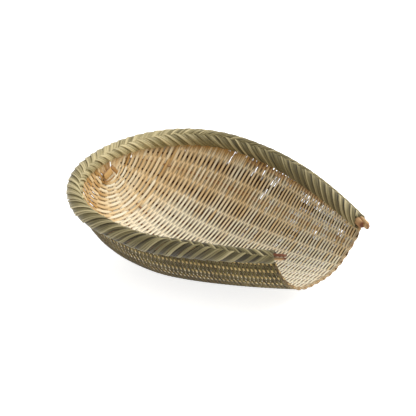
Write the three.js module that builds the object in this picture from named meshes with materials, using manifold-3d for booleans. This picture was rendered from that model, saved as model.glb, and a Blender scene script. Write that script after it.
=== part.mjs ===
// Scoop-shaped storage basket, woven by hand from split bamboo.
// A horseshoe rim, open at the front, carries a bowl of plain weave: splint stakes run from the back
// wall over the floor to the front lip, and long weft splints go up and down between the two sides,
// over one stake and under the next. Millimetres, +X to the right, +Y to the back, +Z up.
import * as THREE from 'three';
import { mergeVertices } from 'three/addons/utils/BufferGeometryUtils.js';
import Module from 'manifold-3d';

// Overall size
const BASKET_LENGTH = 290;
const BASKET_WIDTH = 270;
const BASKET_HEIGHT = 110;
const LIP_HEIGHT = 27;

// Rim: a round bundle that follows a horseshoe, widest behind the middle
const RIM_RADIUS = 9.2;
const RIM_END_RADIUS = 7.2;
const RIM_TAPER_START = 0.7;
const WIDEST_FROM_LIP = 162;
const ARM_END_HALF_WIDTH = 73.5;
const ARM_END_SETBACK = 4;
const ARM_END_HEIGHT = 73;
const ARM_CURVE = 1.6;
const BACK_SQUARENESS = 0.7;
const RIM_RISE = 1.3;
const RIM_PROBE = 3;

// The basket is shaped by hand, and its left arm rises a little higher than the right one
const LEFT_ARM_LIFT = 8;
const LIFT_START = 0.6;
const LIFT_CURVE = 1.5;
const LIFT_FADE = 6;

// Bowl: a rounded back wall, a belly that rests on the table, and a floor that climbs to the lip
const BELLY_FROM_LIP = 165;
const BACK_WALL_SQUARENESS = 2.8;
const FLOOR_CLIMB = 1.25;
const POLE_BELOW_RIM = 22;
const WEFT_CROWDING = 1.36;
const SECTION_POWER = { back: 2, middle: 2.4, front: 3 };
const BOW_POWER = { back: 2.2, middle: 3, front: 2.4 };
const STAKE_SPREAD = 1.25;

// Splints
const STAKES_EACH_SIDE = 8;
const STAKE_THICKNESS = 0.9;
const STAKE_WIDTH = 5.5;
const STAKE_SHARE = 0.34;
const STAKE_STATIONS = 18;
const STAKE_FRONT = 0.999;
const STAKE_LEAST_PITCH = 4.4;
const STAKE_RIM_CLEARANCE = 4.5;
const WEFT_THICKNESS = 0.8;
const WEFT_SHARE = 0.64;
const WEFT_STRANDS = 11;
const PASSES_PER_STRAND = 4;
const FIRST_WEFT = 0.034;
const LAST_WEFT = 0.981;
const SPLINT_CLEARANCE = 0.3;
const SWING_MARGIN = 0.15;
const TURN_INNER = 0.8;
const TURN_OUTER = 3.6;
const BELLY_WEAR = 0.4;
const BELLY_PRESS = 1.8;
const BELLY_EASE = 0.8;

// Rim core, a pair of split canes with the edge of the weave between them, and its binding
const WRAP_THICKNESS = 1.9;
const CORE_CLEARANCE = 1.1;
const CORE_GAP_TOP = 0.75;
const CORE_GAP_BOTTOM = 1.55;
const CORE_STATIONS = 50;
const CORE_ARC_STEPS = 4;
const CANE_END_LENGTH = 11;
const WRAP_PITCH = 12.3;
const WRAP_STEP = 0.9;
const WRAP_STRIP_SHARE = 0.8;
const WRAP_SLANT = { left: 0.95, right: 1.5 };
const WRAP_RAMP = 75;
const WRAP_SLOT = 2.1;
const WRAP_STEPS_EACH_SIDE = 4;
const WRAP_INNER_STEPS = 6;

// The herringbone's spine lies on the inner side at the back and on the outer side at the arm ends
const SPINE_TURN = { back: THREE.MathUtils.degToRad(-42), arm: THREE.MathUtils.degToRad(38) };
const SPINE_TURN_START = 0.35;

// Front edge: a twined pair of round strands
const LIP_PLACE = 0.9905;
const TWINE_RADIUS = 1;
const TWINE_SPREAD = 0.0043;
const TWINE_SIDES = 4;
const TWINE_FLAT = 0.2;

// Back tie: a broad splint folded into a small diamond over the start of the weave
const TIE_WIDTH = 18;
const TIE_HEIGHT = 20;
const TIE_EYE = 5;
const TIE_THICKNESS = 1.2;
const TIE_ABOVE_POLE = 1;

// Colours
const PALE_BAMBOO = 0xcfa673;
const WARM_BAMBOO = 0xb98a55;
const GREEN_BAMBOO = 0x7d7650;
const CANE_PINK = 0xc89b7c;

const wasm = await Module();
wasm.setup();

const { clamp, lerp } = THREE.MathUtils;
const STAKES = 2 * STAKES_EACH_SIDE + 1;
const PASSES = WEFT_STRANDS * PASSES_PER_STRAND;
const WEFT_STEP = (LAST_WEFT - FIRST_WEFT) / PASSES;
const HALF_WEFT = (WEFT_STEP * WEFT_SHARE) / 2;
// The weft rises and falls enough to clear a stake right across its width
const WEFT_SWING = ((STAKE_THICKNESS + WEFT_THICKNESS) / 2 + SPLINT_CLEARANCE) / (1 - STAKE_SHARE) + SWING_MARGIN;
const BELLY_HEIGHT = WEFT_SWING + WEFT_THICKNESS / 2 - BELLY_WEAR;

// A curve that is read by its share of the length
function byLength(points) {
  const reach = [0];
  for (let i = 1; i < points.length; i += 1) {
    reach.push(reach[i - 1] + points[i].distanceTo(points[i - 1]));
  }
  const length = reach[reach.length - 1];
  function at(share) {
    const goal = clamp(share, 0, 1) * length;
    let i = 1;
    while (i < reach.length - 1 && reach[i] < goal) i += 1;
    const part = (goal - reach[i - 1]) / (reach[i] - reach[i - 1]);
    return points[i - 1].clone().lerp(points[i], part);
  }
  return { length, at };
}

// The right half of the rim's centre line, from the middle of the back to the end of the arm
const RIM_BACK_Y = BASKET_LENGTH - RIM_RADIUS;
const RIM_TOP_Z = BASKET_HEIGHT - RIM_RADIUS;
const RIM_HALF_WIDTH = BASKET_WIDTH / 2 - RIM_RADIUS;

function rimHeight(y) {
  const share = clamp((y - ARM_END_SETBACK) / (RIM_BACK_Y - ARM_END_SETBACK), 0, 1);
  return lerp(ARM_END_HEIGHT, RIM_TOP_Z, share ** RIM_RISE);
}

function rimOutline(steps) {
  const points = [];
  for (let i = 0; i <= steps; i += 1) {
    const turn = (i / steps) * (Math.PI / 2);
    const reach = Math.max(Math.cos(turn), 0) ** BACK_SQUARENESS;
    const y = WIDEST_FROM_LIP + (RIM_BACK_Y - WIDEST_FROM_LIP) * reach;
    points.push(new THREE.Vector3(RIM_HALF_WIDTH * Math.sin(turn), y, rimHeight(y)));
  }
  for (let i = 1; i <= steps; i += 1) {
    const share = i / steps;
    const x = lerp(RIM_HALF_WIDTH, ARM_END_HALF_WIDTH, share ** ARM_CURVE);
    const y = lerp(WIDEST_FROM_LIP, ARM_END_SETBACK, share);
    points.push(new THREE.Vector3(x, y, rimHeight(y)));
  }
  return byLength(points);
}

// The bowl's centre line, from just under the back of the rim down to the belly and out to the lip.
// The belly would hang a little below the table, and the table presses it flat
const SAGGED_BELLY = BELLY_HEIGHT - BELLY_PRESS;

function bowlProfile(steps) {
  const points = [];
  const power = 2 / BACK_WALL_SQUARENESS;
  for (let i = steps; i >= 0; i -= 1) {
    const turn = (i / steps) * (Math.PI / 2);
    const y = lerp(BELLY_FROM_LIP, RIM_BACK_Y, Math.sin(turn) ** power);
    const z = lerp(SAGGED_BELLY, RIM_TOP_Z, 1 - Math.max(Math.cos(turn), 0) ** power);
    points.push(new THREE.Vector3(0, y, z));
  }
  for (let i = 1; i <= steps; i += 1) {
    const share = i / steps;
    const z = lerp(SAGGED_BELLY, LIP_HEIGHT, share ** FLOOR_CLIMB);
    points.push(new THREE.Vector3(0, BELLY_FROM_LIP * (1 - share), z));
  }
  return byLength(points);
}

const rimLine = rimOutline(120);
const bowlLine = bowlProfile(120);
const POLE_SHARE = POLE_BELOW_RIM / bowlLine.length;

function threeWay(values, place) {
  if (place < 0.5) return lerp(values.back, values.middle, place * 2);
  return lerp(values.middle, values.front, place * 2 - 1);
}

// How much higher the basket is for its raised left arm, which lifts the wall under it and fades over the floor
function armLift(place, side) {
  const share = clamp((place - LIFT_START) / (1 - LIFT_START), 0, 1);
  return LEFT_ARM_LIFT * share ** LIFT_CURVE * ((1 - side) / 2) ** LIFT_FADE;
}

// A point of the bowl: place runs along the rim from the back (0) to the lip (1),
// side runs round a weft from the left rim (-1) over the floor (0) to the right rim (1)
function bowlPoint(place, side) {
  const rim = rimLine.at(place);
  const floor = bowlLine.at(POLE_SHARE + (1 - POLE_SHARE) * place ** WEFT_CROWDING);
  const reach = Math.sin(STAKE_SPREAD * Math.abs(side)) / Math.sin(STAKE_SPREAD);
  const rise = reach ** threeWay(SECTION_POWER, place);
  const bow = reach ** threeWay(BOW_POWER, place);
  const sag = lerp(floor.z, rim.z, rise) + armLift(place, side) - BELLY_HEIGHT;
  return new THREE.Vector3(
    Math.sign(side) * rim.x * reach,
    lerp(floor.y, rim.y, bow),
    BELLY_HEIGHT + (sag + Math.hypot(sag, BELLY_EASE)) / 2,
  );
}

const PROBE = 0.002;

function bowlFrame(place, side) {
  const back = Math.max(place - PROBE, 0);
  const front = Math.min(place + PROBE, 1);
  const along = bowlPoint(front, side).sub(bowlPoint(back, side)).divideScalar(front - back);
  const across = bowlPoint(place, side + PROBE).sub(bowlPoint(place, side - PROBE)).divideScalar(2 * PROBE);
  const normal = along.clone().cross(across).normalize();
  return { point: bowlPoint(place, side), across, normal };
}

// A closed solid swept through rings of points, with the two end rings capped by the flat section
function sweep(rings, section) {
  const size = rings[0].length;
  const vertices = rings.flat();
  const faces = [];
  for (let i = 0; i + 1 < rings.length; i += 1) {
    for (let k = 0; k < size; k += 1) {
      const a = i * size + k;
      const b = i * size + ((k + 1) % size);
      faces.push([a, b, b + size], [a, b + size, a + size]);
    }
  }
  const cap = THREE.ShapeUtils.triangulateShape(section, []);
  if (THREE.ShapeUtils.isClockWise(section)) cap.forEach((face) => face.reverse());
  const last = (rings.length - 1) * size;
  for (const [a, b, c] of cap) {
    faces.push([a, c, b], [last + a, last + b, last + c]);
  }
  let volume = 0;
  for (const [a, b, c] of faces) {
    volume += vertices[a].dot(vertices[b].clone().cross(vertices[c]));
  }
  const index = faces.flatMap(([a, b, c]) => (volume > 0 ? [a, b, c] : [a, c, b]));
  const geometry = new THREE.BufferGeometry();
  const position = vertices.flatMap((p) => [p.x, p.y, p.z]);
  geometry.setAttribute('position', new THREE.Float32BufferAttribute(position, 3));
  geometry.setIndex(index);
  return geometry;
}

const STRIP_SECTION = [
  new THREE.Vector2(0, 0),
  new THREE.Vector2(1, 0),
  new THREE.Vector2(1, 1),
  new THREE.Vector2(0, 1),
];

function stripRing(first, second, normal, offset, thickness) {
  const low = normal.clone().multiplyScalar(offset - thickness / 2);
  const high = normal.clone().multiplyScalar(offset + thickness / 2);
  return [first.clone().add(low), second.clone().add(low), second.clone().add(high), first.clone().add(high)];
}

// Stakes. Each is a list of stations, and the wefts that cross it are placed on the same stations
function stakeSide(number) {
  return (number - STAKES_EACH_SIDE) / (STAKES_EACH_SIDE + 1);
}

function stakeRoom(place, side) {
  const frame = bowlFrame(place, side);
  const pitch = frame.across.length() / (STAKES_EACH_SIDE + 1);
  const rimDistance = Math.min(
    frame.point.distanceTo(bowlPoint(place, 1)),
    frame.point.distanceTo(bowlPoint(place, -1)),
  );
  return pitch >= STAKE_LEAST_PITCH && rimDistance >= RIM_RADIUS + STAKE_RIM_CLEARANCE;
}

// A stake starts in the gap before the first weft that leaves it room
function stakeStart(side) {
  let pass = 0;
  while (pass < PASSES / 2 && !stakeRoom(FIRST_WEFT + pass * WEFT_STEP, side)) pass += 1;
  return FIRST_WEFT + pass * WEFT_STEP;
}

function makeStake(number) {
  const side = stakeSide(number);
  const start = stakeStart(side);
  const stations = [];
  for (let i = 0; i < STAKE_STATIONS; i += 1) {
    const place = lerp(start, STAKE_FRONT, i / (STAKE_STATIONS - 1));
    stations.push({ place, ...bowlFrame(place, side) });
  }
  return { side, start, stations };
}

const stakes = Array.from({ length: STAKES }, (_, number) => makeStake(number));

function stakePointAt(stake, place) {
  const { stations } = stake;
  let i = 1;
  while (i < stations.length - 1 && stations[i].place < place) i += 1;
  const part = (place - stations[i - 1].place) / (stations[i].place - stations[i - 1].place);
  const point = stations[i - 1].point.clone().lerp(stations[i].point, part);
  const normal = stations[i - 1].normal.clone().lerp(stations[i].normal, part).normalize();
  return { point, normal };
}

function stakeGeometry(stake) {
  const rings = stake.stations.map(({ point, across, normal }) => {
    const pitch = across.length() / (STAKES_EACH_SIDE + 1);
    const half = Math.min(STAKE_WIDTH, STAKE_SHARE * pitch) / 2;
    const reach = across.clone().normalize().multiplyScalar(half);
    return stripRing(point.clone().sub(reach), point.clone().add(reach), normal, 0, STAKE_THICKNESS);
  });
  return sweep(rings, STRIP_SECTION);
}

// Wefts. A strand goes to and fro between the rim's two sides and turns round between the core canes
function weftSide(pass, number) {
  return (pass + number) % 2 === 0 ? 1 : -1;
}

function weftRing(pass, number, flipped) {
  const place = FIRST_WEFT + (pass + 0.5) * WEFT_STEP;
  const stake = stakes[number];
  const woven = place - HALF_WEFT > stake.start;
  const read = woven ? (at) => stakePointAt(stake, at) : (at) => bowlFrame(at, stake.side);
  const offset = woven ? WEFT_SWING * weftSide(pass, number) : 0;
  const edges = [read(place - HALF_WEFT).point, read(place + HALF_WEFT).point];
  if (flipped) edges.reverse();
  return stripRing(edges[0], edges[1], read(place).normal, offset, WEFT_THICKNESS);
}

function weftEndRing(pass, end, flipped) {
  const place = FIRST_WEFT + (pass + 0.5) * WEFT_STEP;
  const edges = [bowlPoint(place - HALF_WEFT, end), bowlPoint(place + HALF_WEFT, end)];
  if (flipped) edges.reverse();
  return stripRing(edges[0], edges[1], bowlFrame(place, end).normal, 0, WEFT_THICKNESS);
}

function weftTurnRing(pass, end, flipped) {
  const place = FIRST_WEFT + (pass + 1) * WEFT_STEP;
  const { point, across, normal } = bowlFrame(place, end);
  const outward = across.normalize().multiplyScalar(end);
  const inner = point.clone().addScaledVector(outward, TURN_INNER);
  const outer = point.clone().addScaledVector(outward, TURN_OUTER);
  return flipped
    ? stripRing(inner, outer, normal, 0, WEFT_THICKNESS)
    : stripRing(outer, inner, normal, 0, WEFT_THICKNESS);
}

function weftStrandGeometry(strand) {
  const rings = [];
  for (let i = 0; i < PASSES_PER_STRAND; i += 1) {
    const pass = strand * PASSES_PER_STRAND + i;
    const rightward = i % 2 === 0;
    const flipped = !rightward;
    const farEnd = rightward ? 1 : -1;
    rings.push(weftEndRing(pass, -farEnd, flipped));
    for (let step = 0; step < STAKES; step += 1) {
      rings.push(weftRing(pass, rightward ? step : STAKES - 1 - step, flipped));
    }
    rings.push(weftEndRing(pass, farEnd, flipped));
    if (i < PASSES_PER_STRAND - 1) rings.push(weftTurnRing(pass, farEnd, flipped));
  }
  return sweep(rings, STRIP_SECTION);
}

// The belly is worn flat where it stands
function wornFlat(geometry) {
  const bare = geometry.clone();
  const merged = mergeVertices(bare, 1e-4);
  const solid = new wasm.Manifold(new wasm.Mesh({
    numProp: 3,
    vertProperties: new Float32Array(merged.attributes.position.array),
    triVerts: new Uint32Array(merged.index.array),
  }));
  if (solid.boundingBox().min[2] >= 0) return geometry;
  const size = 2 * BASKET_LENGTH;
  const block = new THREE.BoxGeometry(size, size, size).translate(0, BASKET_LENGTH / 2, -size / 2);
  block.deleteAttribute('normal');
  block.deleteAttribute('uv');
  const table = mergeVertices(block);
  const cutter = new wasm.Manifold(new wasm.Mesh({
    numProp: 3,
    vertProperties: new Float32Array(table.attributes.position.array),
    triVerts: new Uint32Array(table.index.array),
  }));
  const result = solid.subtract(cutter).getMesh();
  const cut = new THREE.BufferGeometry();
  cut.setAttribute('position', new THREE.Float32BufferAttribute(result.vertProperties, 3));
  cut.setIndex(new THREE.Uint32BufferAttribute(result.triVerts, 1));
  return cut;
}

// Rim sections. Travel is the distance from the middle of the back, positive towards the right arm
function rimRadius(travel) {
  const share = (Math.abs(travel) / rimLine.length - RIM_TAPER_START) / (1 - RIM_TAPER_START);
  return lerp(RIM_RADIUS, RIM_END_RADIUS, clamp(share, 0, 1));
}

function rimPointAt(travel) {
  const place = Math.abs(travel) / rimLine.length;
  const point = rimLine.at(place);
  if (travel > 0) return point;
  return point.set(-point.x, point.y, point.z + armLift(place, -1));
}

function rimFrame(travel) {
  const side = travel < 0 ? -1 : 1;
  const reach = Math.min(Math.abs(travel), rimLine.length);
  const beyond = Math.abs(travel) - reach;
  const low = Math.max(side * reach - RIM_PROBE, -rimLine.length);
  const high = Math.min(side * reach + RIM_PROBE, rimLine.length);
  const tangent = rimPointAt(high).sub(rimPointAt(low)).normalize();
  const centre = rimPointAt(side * reach).addScaledVector(tangent, side * beyond);
  const away = bowlFrame(reach / rimLine.length, side).across.multiplyScalar(side);
  const up = away.addScaledVector(tangent, -away.dot(tangent)).normalize();
  const out = up.clone().cross(tangent).normalize();
  return { centre, up, out };
}

function rimSectionPoint(frame, radius, angle) {
  return frame.centre.clone()
    .addScaledVector(frame.up, radius * Math.cos(angle))
    .addScaledVector(frame.out, radius * Math.sin(angle));
}

// Core canes: half-round, flat side to the weave, longer than the binding at both ends
function coreCaneGeometry(hand) {
  const reach = rimLine.length + CANE_END_LENGTH;
  const rings = [];
  let section = [];
  for (let i = 0; i <= CORE_STATIONS; i += 1) {
    const travel = lerp(-reach, reach, i / CORE_STATIONS);
    const radius = rimRadius(travel) - WRAP_THICKNESS - CORE_CLEARANCE;
    const first = Math.asin(CORE_GAP_TOP / radius);
    const last = Math.PI - Math.asin(CORE_GAP_BOTTOM / radius);
    const frame = rimFrame(travel);
    const ring = [];
    section = [];
    for (let k = 0; k <= CORE_ARC_STEPS; k += 1) {
      const angle = hand * lerp(first, last, k / CORE_ARC_STEPS);
      ring.push(rimSectionPoint(frame, radius, angle));
      section.push(new THREE.Vector2(radius * Math.cos(angle), radius * Math.sin(angle)));
    }
    rings.push(ring);
  }
  return sweep(rings, section);
}

// Binding: strips laid as a herringbone that runs on from the left arm round to the right one,
// open below where the weave comes in. Both legs of a strip trail from its place on the spine
function wrapRing(travel, sink) {
  const place = Math.abs(travel) / rimLine.length;
  const ramp = Math.min(1, ((1 - place) * rimLine.length) / WRAP_RAMP);
  const slant = lerp(WRAP_SLANT.left, WRAP_SLANT.right, (travel / rimLine.length + 1) / 2);
  const here = rimFrame(travel);
  const turn = clamp((place - SPINE_TURN_START) / (1 - SPINE_TURN_START), 0, 1);
  const spine = Math.atan2(here.out.z, here.up.z) + lerp(SPINE_TURN.back, SPINE_TURN.arm, turn);
  const radius = rimRadius(travel);
  const bottom = Math.PI - Math.asin(WRAP_SLOT / (radius - WRAP_THICKNESS));
  const ring = [];
  const section = [];
  function addPoint(angle, depth) {
    const lag = slant * radius * Math.abs(angle - spine) * ramp;
    ring.push(rimSectionPoint(rimFrame(travel + lag), radius - depth, angle));
    section.push(new THREE.Vector2((radius - depth) * Math.cos(angle), (radius - depth) * Math.sin(angle)));
  }
  for (let k = -WRAP_STEPS_EACH_SIDE; k <= WRAP_STEPS_EACH_SIDE; k += 1) {
    addPoint(lerp(spine, Math.sign(k) * bottom, Math.abs(k) / WRAP_STEPS_EACH_SIDE), sink);
  }
  for (let k = WRAP_INNER_STEPS; k >= 0; k -= 1) {
    addPoint(lerp(-bottom, bottom, k / WRAP_INNER_STEPS), WRAP_THICKNESS);
  }
  return { ring, section };
}

function wrapGeometry() {
  const strips = Math.round((2 * rimLine.length) / WRAP_PITCH);
  const pitch = (2 * rimLine.length) / strips;
  const turns = [];
  for (let i = 0; i < strips; i += 1) {
    const start = i * pitch - rimLine.length;
    turns.push([start, 0], [start + WRAP_STRIP_SHARE * pitch, WRAP_STEP]);
  }
  turns.push([rimLine.length, WRAP_STEP]);
  const rings = turns.map(([travel, sink]) => wrapRing(travel, sink));
  return sweep(rings.map((item) => item.ring), rings[0].section);
}

// Lip: two strands twined about each other, one over and one under every stake
function twineGeometry(hand) {
  const swing = STAKE_THICKNESS / 2 + TWINE_RADIUS + SPLINT_CLEARANCE;
  const last = STAKES + 1;
  const pitch = (bowlFrame(LIP_PLACE, 1).across.length() * 2) / last;
  const tip = (RIM_END_RADIUS + SPLINT_CLEARANCE) / pitch;
  const stops = [];
  for (let i = 1; i < last; i += 1) {
    const turn = i % 2 === 0 ? 1 : -1;
    stops.push({ at: Math.max(i - TWINE_FLAT, tip), lift: turn, shift: 0 });
    stops.push({ at: Math.min(i + TWINE_FLAT, last - tip), lift: turn, shift: 0 });
    if (i < last - 1) stops.push({ at: i + 0.5, lift: 0, shift: turn });
  }
  const centres = stops.map(({ at, lift, shift }) => {
    const frame = bowlFrame(LIP_PLACE + TWINE_SPREAD * hand * shift, lerp(-1, 1, at / last));
    return { ...frame, point: frame.point.clone().addScaledVector(frame.normal, swing * hand * lift) };
  });
  const section = [];
  for (let k = 0; k < TWINE_SIDES; k += 1) {
    const angle = (k / TWINE_SIDES) * 2 * Math.PI;
    section.push(new THREE.Vector2(TWINE_RADIUS * Math.cos(angle), TWINE_RADIUS * Math.sin(angle)));
  }
  const rings = centres.map(({ point, across, normal }) => {
    const forward = across.clone().cross(normal).normalize();
    return section.map(({ x, y }) => point.clone().addScaledVector(forward, x).addScaledVector(normal, y));
  });
  return sweep(rings, section);
}

// Back tie: a diamond with a small eye, lying on the start of the weave
function tieGeometry() {
  const outline = new THREE.Shape([
    new THREE.Vector2(TIE_WIDTH / 2, 0),
    new THREE.Vector2(0, TIE_HEIGHT / 2),
    new THREE.Vector2(-TIE_WIDTH / 2, 0),
    new THREE.Vector2(0, -TIE_HEIGHT / 2),
  ]);
  outline.holes.push(new THREE.Path([
    new THREE.Vector2(TIE_EYE / 2, 0),
    new THREE.Vector2(0, -TIE_EYE / 2),
    new THREE.Vector2(-TIE_EYE / 2, 0),
    new THREE.Vector2(0, TIE_EYE / 2),
  ]));
  return new THREE.ExtrudeGeometry(outline, { depth: TIE_THICKNESS, bevelEnabled: false });
}

function finish(color, roughness) {
  return new THREE.MeshStandardMaterial({ color, roughness, metalness: 0 });
}

function named(name, geometry, material) {
  const mesh = new THREE.Mesh(geometry, material);
  mesh.name = name;
  return mesh;
}

const basket = new THREE.Group();
const stakeFinish = finish(WARM_BAMBOO, 0.6);
const weftFinish = finish(PALE_BAMBOO, 0.6);
const rimFinish = finish(GREEN_BAMBOO, 0.5);

stakes.forEach((stake, number) => {
  const count = number - STAKES_EACH_SIDE;
  let name = 'stake_centre';
  if (count < 0) name = `stake_left_${-count}`;
  if (count > 0) name = `stake_right_${count}`;
  basket.add(named(name, stakeGeometry(stake), stakeFinish));
});

for (let strand = 0; strand < WEFT_STRANDS; strand += 1) {
  const name = `weft_strand_${String(strand + 1).padStart(2, '0')}`;
  basket.add(named(name, wornFlat(weftStrandGeometry(strand)), weftFinish));
}

basket.add(named('rim_outer_cane', coreCaneGeometry(1), finish(CANE_PINK, 0.7)));
basket.add(named('rim_inner_cane', coreCaneGeometry(-1), finish(CANE_PINK, 0.7)));
basket.add(named('rim_binding', wrapGeometry(), rimFinish));
basket.add(named('lip_twine_a', twineGeometry(1), weftFinish));
basket.add(named('lip_twine_b', twineGeometry(-1), weftFinish));

const tie = named('back_tie', tieGeometry(), stakeFinish);
const tieShare = (POLE_BELOW_RIM - TIE_ABOVE_POLE) / bowlLine.length;
const tiePoint = bowlLine.at(tieShare);
const tieDown = bowlLine.at(tieShare + PROBE).sub(bowlLine.at(tieShare - PROBE)).normalize();
const tieAcross = new THREE.Vector3(1, 0, 0);
const tieOut = tieDown.clone().cross(tieAcross).normalize();
const tieUp = tieOut.clone().cross(tieAcross);
tie.setRotationFromMatrix(new THREE.Matrix4().makeBasis(tieAcross, tieUp, tieOut));
tie.position.copy(tiePoint).addScaledVector(tieOut, WEFT_SWING / 2 + SPLINT_CLEARANCE);
basket.add(tie);

// The origin stands on the table under the middle of the basket
basket.updateMatrixWorld(true);
const extent = new THREE.Box3().setFromObject(basket);
basket.position.set(0, -(extent.min.y + extent.max.y) / 2, 0);
basket.updateMatrixWorld(true);

export default basket;
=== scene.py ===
# Scoop-shaped storage basket, woven by hand from split bamboo: its looks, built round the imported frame
import math

import bpy
import numpy as np
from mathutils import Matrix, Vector


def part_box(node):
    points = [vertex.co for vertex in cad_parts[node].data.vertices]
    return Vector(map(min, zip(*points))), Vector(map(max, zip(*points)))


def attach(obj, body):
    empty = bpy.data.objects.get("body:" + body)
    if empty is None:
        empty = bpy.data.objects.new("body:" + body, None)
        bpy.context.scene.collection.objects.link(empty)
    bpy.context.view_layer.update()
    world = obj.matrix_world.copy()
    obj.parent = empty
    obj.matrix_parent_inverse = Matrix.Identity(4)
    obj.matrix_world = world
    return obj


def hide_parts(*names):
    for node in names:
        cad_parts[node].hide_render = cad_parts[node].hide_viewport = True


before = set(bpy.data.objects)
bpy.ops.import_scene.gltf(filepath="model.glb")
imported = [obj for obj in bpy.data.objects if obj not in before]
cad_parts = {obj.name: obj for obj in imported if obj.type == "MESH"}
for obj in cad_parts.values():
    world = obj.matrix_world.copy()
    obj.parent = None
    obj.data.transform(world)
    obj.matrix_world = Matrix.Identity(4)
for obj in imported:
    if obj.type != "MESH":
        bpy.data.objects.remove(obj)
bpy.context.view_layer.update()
bpy.ops.object.select_all(action="DESELECT")

# Camera
# A long lens looks down into the basket from its left front, as in the photograph.
# It aims a little above the middle of the bowl, so that the picture needs no shift.
VIEW_AZIMUTH = math.radians(-52.2)
VIEW_ELEVATION = math.radians(23.5)
VIEW_DISTANCE = 3.0
VIEW_TARGET = Vector((0.0037, 0.0090, 0.0694))
LENS_MM = 245.4
SENSOR_MM = 36
NEAREST_SEEN = 0.1
FARTHEST_SEEN = 30

away = Vector((
    math.sin(VIEW_AZIMUTH) * math.cos(VIEW_ELEVATION),
    -math.cos(VIEW_AZIMUTH) * math.cos(VIEW_ELEVATION),
    math.sin(VIEW_ELEVATION),
))
bpy.ops.object.camera_add(location=VIEW_TARGET + away * VIEW_DISTANCE)
camera = bpy.context.object
camera.rotation_euler = away.to_track_quat("Z", "Y").to_euler()
camera.data.lens = LENS_MM
camera.data.sensor_width = SENSOR_MM
camera.data.clip_start = NEAREST_SEEN
camera.data.clip_end = FARTHEST_SEEN
bpy.context.scene.camera = camera
bpy.context.scene.view_settings.view_transform = "Standard"

# Stakes
# The warp: seventeen flat splints of split bamboo, skin side out. They fan from the back wall down over
# the floor to the lip, and the wefts are woven across them. Stakes and wefts lie on one bowl, which hangs
# from a horseshoe rim, and its form comes first.
RIM_RADIUS = 0.0092
BASKET_LENGTH = 0.290
WIDEST_FROM_LIP = 0.162
ARM_END_HALF_WIDTH = 0.0735
ARM_END_SETBACK = 0.004
ARM_END_HEIGHT = 0.073
ARM_CURVE = 1.6
BACK_SQUARENESS = 0.7
RIM_RISE = 1.3
RIM_TOP_Z = 0.1008
LEFT_ARM_LIFT = 0.008
RIGHT_ARM_DROP = 0.0025
LIFT_START = 0.6
LIFT_CURVE = 1.5
DROP_CURVE = 2
LIFT_FADE = 6
LEFT_SAG = 0.0046
SAG_BEGINS = (0.16, 0.4)
SAG_ENDS = (0.56, 0.8)
LIP_HEIGHT = 0.027
LIP_BULGE = 0.0055
LIP_BULGE_START = 0.78
LIP_BULGE_GROWTH = 2
LIP_BULGE_TO_ARM = 4
LIP_BULGE_SIDEWAYS = 0.6
LIP_BULGE_FORWARD = 0.8
BELLY_FROM_LIP = 0.165
BELLY_HEIGHT = 0.00189
BELLY_PRESS = 0.0018
BELLY_EASE = 0.0008
BACK_WALL_SQUARENESS = 2.8
FLOOR_CLIMB = 1.25
POLE_BELOW_RIM = 0.022
WEFT_CROWDING = 1.36
STAKE_SPREAD = 1.25
# Where a value changes over the basket, its first row says where and its second row what it is there
SECTION_POWER = ((0, 0.5, 1), (2, 2.4, 3))
BOW_POWER = ((0, 0.5, 1), (2.2, 3, 2.4))
CURVE_STEPS = 400
PROBE = 0.002

RIM_BACK_Y = BASKET_LENGTH - RIM_RADIUS
RIM_HALF_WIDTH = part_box("rim_binding")[1].x - RIM_RADIUS


def mix(low, high, share):
    return low + (high - low) * share


def ease(value, low, high):
    share = np.clip((value - low) / (high - low), 0, 1)
    return share * share * (3 - 2 * share)


def unit(vectors):
    return vectors / np.linalg.norm(vectors, axis=-1, keepdims=True)


def by_length(points):
    """A curve that is read by its share of the length, and that length."""
    steps = np.linalg.norm(np.diff(points, axis=0), axis=1)
    reach = np.concatenate([[0], np.cumsum(steps)])

    def at(share):
        goal = np.clip(share, 0, 1) * reach[-1]
        return np.stack([np.interp(goal, reach, points[:, axis]) for axis in range(3)], axis=-1)

    return at, reach[-1]


def rim_height(y):
    share = np.clip((y - ARM_END_SETBACK) / (RIM_BACK_Y - ARM_END_SETBACK), 0, 1)
    return mix(ARM_END_HEIGHT, RIM_TOP_Z, share ** RIM_RISE)


def rim_outline():
    """The right half of the rim's centre line, from the middle of the back to the arm's end."""
    turn = np.linspace(0, np.pi / 2, CURVE_STEPS)
    reach = np.maximum(np.cos(turn), 0) ** BACK_SQUARENESS
    back = np.stack([RIM_HALF_WIDTH * np.sin(turn), mix(WIDEST_FROM_LIP, RIM_BACK_Y, reach)], axis=-1)
    share = np.linspace(0, 1, CURVE_STEPS)[1:]
    arm = np.stack([
        mix(RIM_HALF_WIDTH, ARM_END_HALF_WIDTH, share ** ARM_CURVE),
        mix(WIDEST_FROM_LIP, ARM_END_SETBACK, share),
    ], axis=-1)
    plan = np.concatenate([back, arm])
    return np.concatenate([plan, rim_height(plan[:, 1:])], axis=-1)


def bowl_profile():
    """The bowl's middle line, from the rim down the back wall and over the floor to the lip."""
    lowest = BELLY_HEIGHT - BELLY_PRESS
    power = 2 / BACK_WALL_SQUARENESS
    turn = np.linspace(np.pi / 2, 0, CURVE_STEPS)
    wall_y = mix(BELLY_FROM_LIP, RIM_BACK_Y, np.sin(turn) ** power)
    wall_z = mix(lowest, RIM_TOP_Z, 1 - np.maximum(np.cos(turn), 0) ** power)
    share = np.linspace(0, 1, CURVE_STEPS)[1:]
    y = np.concatenate([wall_y, BELLY_FROM_LIP * (1 - share)])
    z = np.concatenate([wall_z, mix(lowest, LIP_HEIGHT, share ** FLOOR_CLIMB)])
    return np.stack([np.zeros_like(y), y, z], axis=-1)


rim_at, RIM_LENGTH = by_length(rim_outline())
bowl_at, BOWL_LENGTH = by_length(bowl_profile())
POLE_SHARE = POLE_BELOW_RIM / BOWL_LENGTH


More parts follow.
